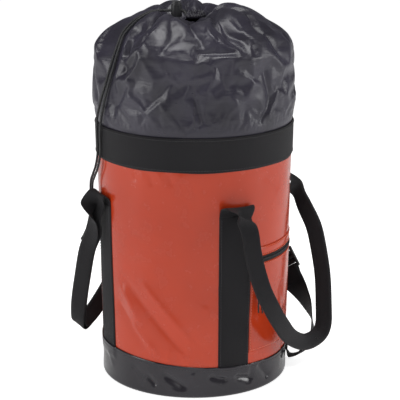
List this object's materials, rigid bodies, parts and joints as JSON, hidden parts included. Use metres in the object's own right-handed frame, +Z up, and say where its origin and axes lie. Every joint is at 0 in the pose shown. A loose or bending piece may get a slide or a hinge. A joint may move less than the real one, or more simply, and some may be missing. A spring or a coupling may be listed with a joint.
{
  "type": "rope storage bag",
  "caption": "Round rope bag: tapered PVC drum with a drawn nylon hood, cord lock, webbing carry handles, shoulder straps and a side zip pocket.",
  "frame": {"origin": "centre of the underside, on the floor", "axes": "+Z up along the drum's axis, -Y to the plain front, +X to the zip pocket"},
  "size_m": [0.3826, 0.3219, 0.5615],
  "materials": {
    "orange_pvc": "glossy coated fabric",
    "black_pvc": "glossy coated fabric",
    "base_board": "matt",
    "hood_nylon": "coated nylon with a soft sheen",
    "webbing": "ribbed weave",
    "cord": "braided",
    "cord_tip": "shrunk sleeve",
    "spring_steel": "bare wire",
    "zip_tape": "woven",
    "zip_plastic": "moulded",
    "black_plastic": "moulded, slight gloss"
  },
  "bodies": {
    "bag": {"body_panel": "orange_pvc", "back_seam": "orange_pvc", "base_boot": "black_pvc", "base_disc": "base_board", "rim_band": "webbing", "hood_panel_left": "hood_nylon", "hood_panel_right": "hood_nylon", "hood_hem": "hood_nylon", "strip_front_left": "webbing", "strip_front_right": "webbing", "strip_rear_left": "webbing", "strip_rear_right": "webbing", "handle_root_front_left": "webbing", "handle_root_front_right": "webbing", "handle_root_rear_left": "webbing", "handle_root_rear_right": "webbing", "pocket_panel": "orange_pvc", "zip_tape_lower": "zip_tape", "zip_tape_upper": "zip_tape", "zip_teeth": "zip_plastic", "zip_flap": "orange_pvc", "zip_stop_front": "zip_plastic", "zip_stop_rear": "zip_plastic", "strap_top_left": "webbing", "strap_top_right": "webbing", "strap_foot_left": "webbing", "strap_foot_right": "webbing", "drawcord": "cord", "drawcord_tail_front": "cord", "drawcord_tail_rear": "cord", "cord_tip_front": "cord_tip", "cord_tip_rear": "cord_tip", "rope_tie_loop": "webbing"},
    "handle_left": {"handle_left": "webbing"},
    "handle_right": {"handle_right": "webbing"},
    "shoulder_left": {"shoulder_strap_upper_left": "webbing", "ladder_lock_left": "black_plastic", "shoulder_strap_lower_left": "webbing"},
    "shoulder_right": {"shoulder_strap_upper_right": "webbing", "ladder_lock_right": "black_plastic", "shoulder_strap_lower_right": "webbing"},
    "cord_lock": {"cord_lock_body": "black_plastic", "cord_lock_spring": "spring_steel"},
    "lock_button": {"cord_lock_button": "black_plastic"},
    "zip_slider": {"zip_slider": "zip_plastic"},
    "zip_pull": {"zip_pull_tab": "zip_plastic", "zip_pull_cord": "cord"}
  },
  "joints": [
    {"name": "handle_left_swing", "type": "hinge", "parent": "bag", "child": "handle_left", "pos_m": [-0.12, 0, 0.286], "axis": [0, 1, 0], "range_deg": [0, 150]},
    {"name": "handle_right_swing", "type": "hinge", "parent": "bag", "child": "handle_right", "pos_m": [0.12, 0, 0.286], "axis": [0, -1, 0], "range_deg": [0, 150]},
    {"name": "shoulder_left_swing", "type": "hinge", "parent": "bag", "child": "shoulder_left", "pos_m": [-0.0505, 0.162, 0.2955], "axis": [-0.3088, -0.291, -0.9055], "range_deg": [-45, 10]},
    {"name": "shoulder_right_swing", "type": "hinge", "parent": "bag", "child": "shoulder_right", "pos_m": [0.0505, 0.162, 0.2955], "axis": [-0.3088, 0.291, 0.9055], "range_deg": [-45, 10]},
    {"name": "cord_lock_slide", "type": "slide", "parent": "bag", "child": "cord_lock", "axis": [-0.9291, -0.3697, 0], "range_m": [0, 0.01]},
    {"name": "cord_lock_press", "type": "slide", "parent": "cord_lock", "child": "lock_button", "axis": [0, 0, -1], "range_m": [0, 0.003], "stiffness_N_per_m": 2000, "springref_m": -0.002, "deforming": ["cord_lock_spring"]},
    {"name": "zip_slide", "type": "hinge", "parent": "bag", "child": "zip_slider", "pos_m": [0, 0, 0.202], "axis": [0, 0, 1], "range_deg": [0, 57]},
    {"name": "zip_pull_lift", "type": "hinge", "parent": "zip_slider", "child": "zip_pull", "pos_m": [0.13034, -0.07136, 0.202], "axis": [-0.4802, -0.8771, 0], "range_deg": [0, 15]}
  ]
}
